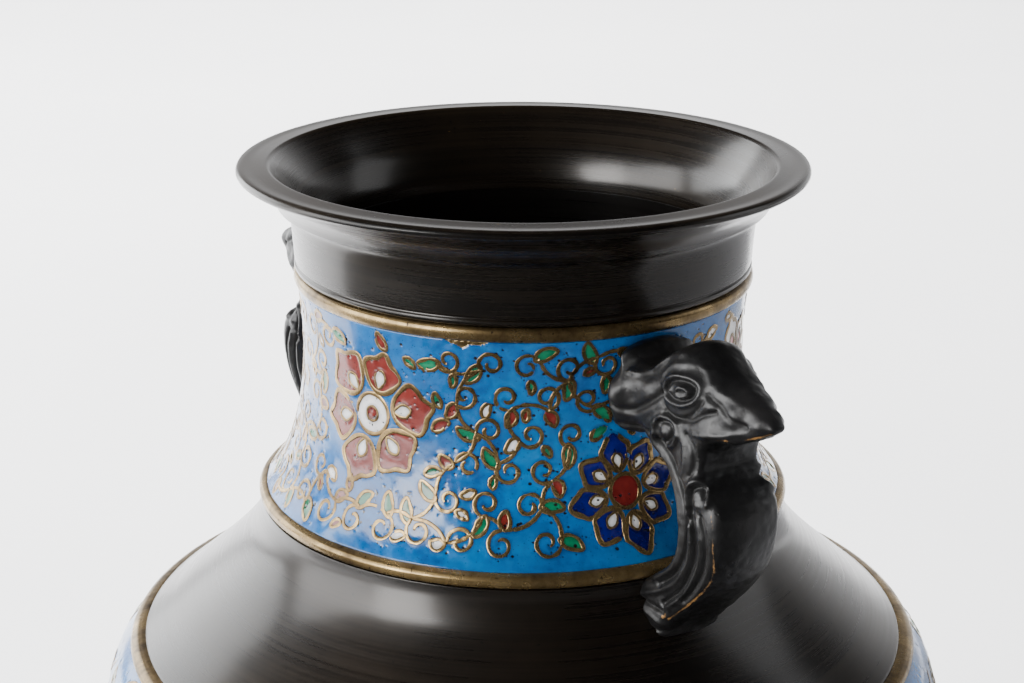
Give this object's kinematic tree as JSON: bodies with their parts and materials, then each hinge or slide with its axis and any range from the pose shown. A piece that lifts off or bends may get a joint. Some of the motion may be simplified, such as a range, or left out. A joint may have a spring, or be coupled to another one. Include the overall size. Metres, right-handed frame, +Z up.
{
  "type": "two-handled enamelled bronze vase",
  "caption": "Footed bronze vase with a flared lip, enamelled neck and belly bands with flowers in wire cells, and bird-head handles from neck to shoulder.",
  "frame": {"origin": "centre of the foot's resting face, on the body's axis", "axes": "+Z up through the mouth; +X towards the right handle, which with the left handle leans 4.5 degrees from the X axis towards -Y; +Y away from the side the handles lean to"},
  "size_m": [0.1864, 0.1862, 0.3],
  "materials": {
    "bronze": "dark brown-black patina with worn gold edges, satin to glossy",
    "brass_trim": "worn polished",
    "enamel_turquoise": "glossy opaque enamel",
    "enamel_red": "glossy opaque enamel",
    "enamel_white": "glossy opaque enamel",
    "enamel_green": "glossy opaque enamel",
    "enamel_cobalt": "glossy opaque enamel",
    "enamel_pink": "glossy opaque enamel"
  },
  "bodies": {
    "root": {"mouth_rim": "bronze", "neck_ring_upper": "brass_trim", "neck_shell": "bronze", "neck_enamel_ground": "enamel_turquoise", "neck_cloisons": "brass_trim", "neck_enamel_red": "enamel_red", "neck_enamel_white": "enamel_white", "neck_enamel_green": "enamel_green", "neck_enamel_cobalt": "enamel_cobalt", "neck_ring_lower": "brass_trim", "shoulder_shell": "bronze", "belly_ring_upper": "brass_trim", "belly_shell": "bronze", "belly_enamel_ground": "enamel_turquoise", "belly_cloisons": "brass_trim", "belly_enamel_pink": "enamel_pink", "belly_enamel_white": "enamel_white", "belly_enamel_green": "enamel_green", "belly_enamel_cobalt": "enamel_cobalt", "belly_ring_lower": "brass_trim", "lower_body": "bronze", "base_plate": "bronze", "foot": "bronze", "handle_right": "bronze", "handle_left": "bronze", "rivets_right": "bronze", "rivets_left": "bronze"}
  },
  "joints": []
}
